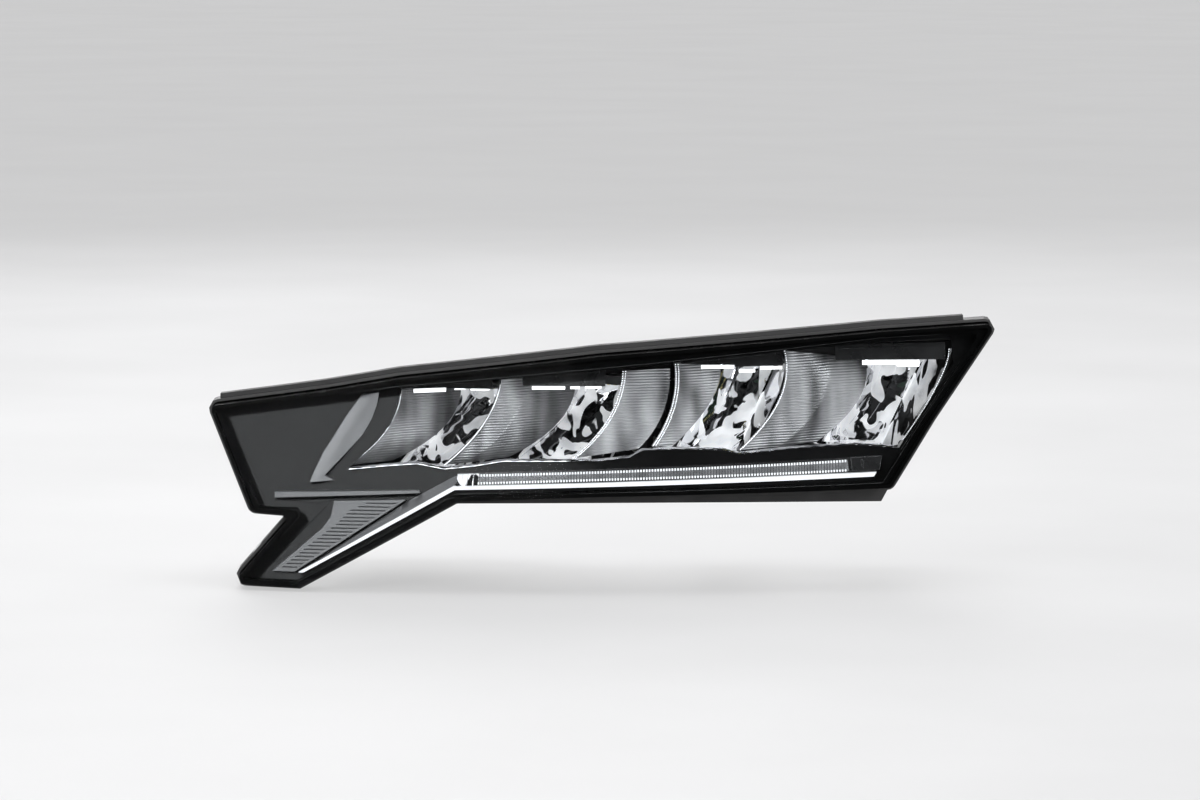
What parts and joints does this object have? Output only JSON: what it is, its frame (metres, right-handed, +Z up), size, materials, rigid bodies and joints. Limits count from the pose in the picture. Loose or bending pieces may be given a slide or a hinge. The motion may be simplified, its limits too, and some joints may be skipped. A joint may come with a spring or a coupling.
{
  "type": "car headlight assembly",
  "caption": "Swept LED reflector headlamp: clear lens over ribbed chrome fins and half-bowl reflectors, in a black shell with mounting eyes, leveller and aim adjusters.",
  "frame": {"origin": "centre of the inner mounting eye, on its top face", "axes": "+X towards the outboard side of the car, +Y towards the rear, +Z up; the beam leaves along -Y"},
  "size_m": [0.486, 0.4202, 0.1954],
  "materials": {
    "housing_plastic": "fine moulded grain",
    "lens_clear": "clear hard-coated polycarbonate",
    "gloss_black": "piano black",
    "butyl": "tacky butyl",
    "seal_rubber": "matt",
    "bezel_satin": "satin metallic paint",
    "trim_grey": "satin silver paint on plastic",
    "strip_white": "white diffuser",
    "guide_clear": "clear acrylic with teeth",
    "chrome_bright": "vacuum metallised, bright",
    "chrome_ribbed": "vacuum metallised over fine ribs",
    "led_board": "solder mask",
    "steel": "zinc plated",
    "motor_plastic": "glass-filled nylon",
    "cast_aluminium": "as cast",
    "cable_black": "taped loom",
    "adjuster_nylon": "natural nylon",
    "cap_plastic": "grained",
    "frame_steel": "black e-coat",
    "carrier_plastic": "glass-filled nylon",
    "hood_grey": "dark grey metallised"
  },
  "bodies": {
    "lamp_shell": {"housing": "housing_plastic", "lens": "lens_clear", "lens_border": "gloss_black", "sealing_bead": "butyl", "top_seal_strip": "seal_rubber", "bezel": "bezel_satin", "crescent_fin": "trim_grey", "trim_blade": "trim_grey", "foot_grille": "trim_grey", "signature_strip": "strip_white", "signature_guide": "guide_clear", "guide_holder": "chrome_bright", "signature_led_board": "led_board", "cell_fin_1": "chrome_ribbed", "cell_fin_2": "chrome_ribbed", "cell_fin_3": "chrome_ribbed", "cell_fin_4": "chrome_ribbed", "cell_fin_5": "chrome_ribbed", "end_fin": "chrome_bright", "cell_lip": "chrome_bright", "bezel_screws": "steel", "mount_sleeves": "steel", "leveller_motor": "motor_plastic", "leveller_seal": "seal_rubber", "control_unit": "cast_aluminium", "control_unit_gasket": "seal_rubber", "control_unit_screws": "steel", "main_connector": "motor_plastic", "wiring_loom": "cable_black", "breather_caps": "motor_plastic", "adjuster_guide": "adjuster_nylon"},
    "service_cap": {"service_cap": "cap_plastic", "service_cap_seal": "seal_rubber"},
    "horizontal_adjuster": {"horizontal_adjuster": "adjuster_nylon"},
    "vertical_adjuster": {"vertical_adjuster": "adjuster_nylon"},
    "leveller_spindle": {"leveller_spindle": "adjuster_nylon"},
    "aim_frame": {"aim_frame": "frame_steel", "pan_pins": "steel", "tilt_pins": "steel", "adjuster_nut": "adjuster_nylon"},
    "low_beam_unit": {"low_beam_carrier": "carrier_plastic", "low_reflector_inner": "chrome_bright", "low_reflector_outer": "chrome_bright", "low_led_boards": "led_board", "low_heat_sinks": "cast_aluminium", "low_led_hoods": "hood_grey"},
    "main_beam_unit": {"main_beam_carrier": "carrier_plastic", "main_reflector_inner": "chrome_bright", "main_reflector_outer": "chrome_bright", "main_led_boards": "led_board", "main_heat_sinks": "cast_aluminium", "main_led_hoods": "hood_grey"},
    "tie_rod": {"tie_rod": "steel"}
  },
  "joints": [
    {"name": "pan", "type": "hinge", "parent": "lamp_shell", "child": "aim_frame", "pos_m": [0.196, 0.012, -0.033], "axis": [0, 0, 1], "range_deg": [-1.2, 1.2]},
    {"name": "low_tilt", "type": "hinge", "parent": "aim_frame", "child": "low_beam_unit", "pos_m": [0.255, 0.07, -0.057], "axis": [1, 0, 0], "range_deg": [-1.5, 1.5]},
    {"name": "main_tilt", "type": "hinge", "parent": "aim_frame", "child": "main_beam_unit", "pos_m": [0.108, -0.038, -0.057], "axis": [1, 0, 0], "range_deg": [-1.55, 1.55]},
    {"name": "tie_rod_slide", "type": "slide", "parent": "aim_frame", "child": "tie_rod", "axis": [0, 1, 0], "range_m": [-0.00115, 0.00115]},
    {"name": "leveller_slide", "type": "slide", "parent": "lamp_shell", "child": "leveller_spindle", "axis": [0, 1, 0], "range_m": [-0.00125, 0.00125]},
    {"name": "vertical_adjuster_turn", "type": "hinge", "parent": "lamp_shell", "child": "vertical_adjuster", "pos_m": [0.224, 0.112, -0.011], "axis": [0, 1, 0], "range_deg": [-147, 147]},
    {"name": "horizontal_adjuster_turn", "type": "hinge", "parent": "lamp_shell", "child": "horizontal_adjuster", "pos_m": [0.146, 0.032, -0.041], "axis": [0, 1, 0], "range_deg": [-128, 128]},
    {"name": "service_cap_turn", "type": "hinge", "parent": "lamp_shell", "child": "service_cap", "pos_m": [0.04, 0.012, -0.035], "axis": [0, 1, 0], "range_deg": [0, 30]}
  ],
  "couplings": [
    {"joint": "main_tilt", "follows": "low_tilt", "ratio": 1},
    {"joint": "tie_rod_slide", "follows": "low_tilt", "m_per_rad": -0.042},
    {"joint": "leveller_slide", "follows": "low_tilt", "m_per_rad": -0.046},
    {"joint": "vertical_adjuster_turn", "follows": "low_tilt", "ratio": 96.34},
    {"joint": "horizontal_adjuster_turn", "follows": "pan", "ratio": 104.72}
  ]
}
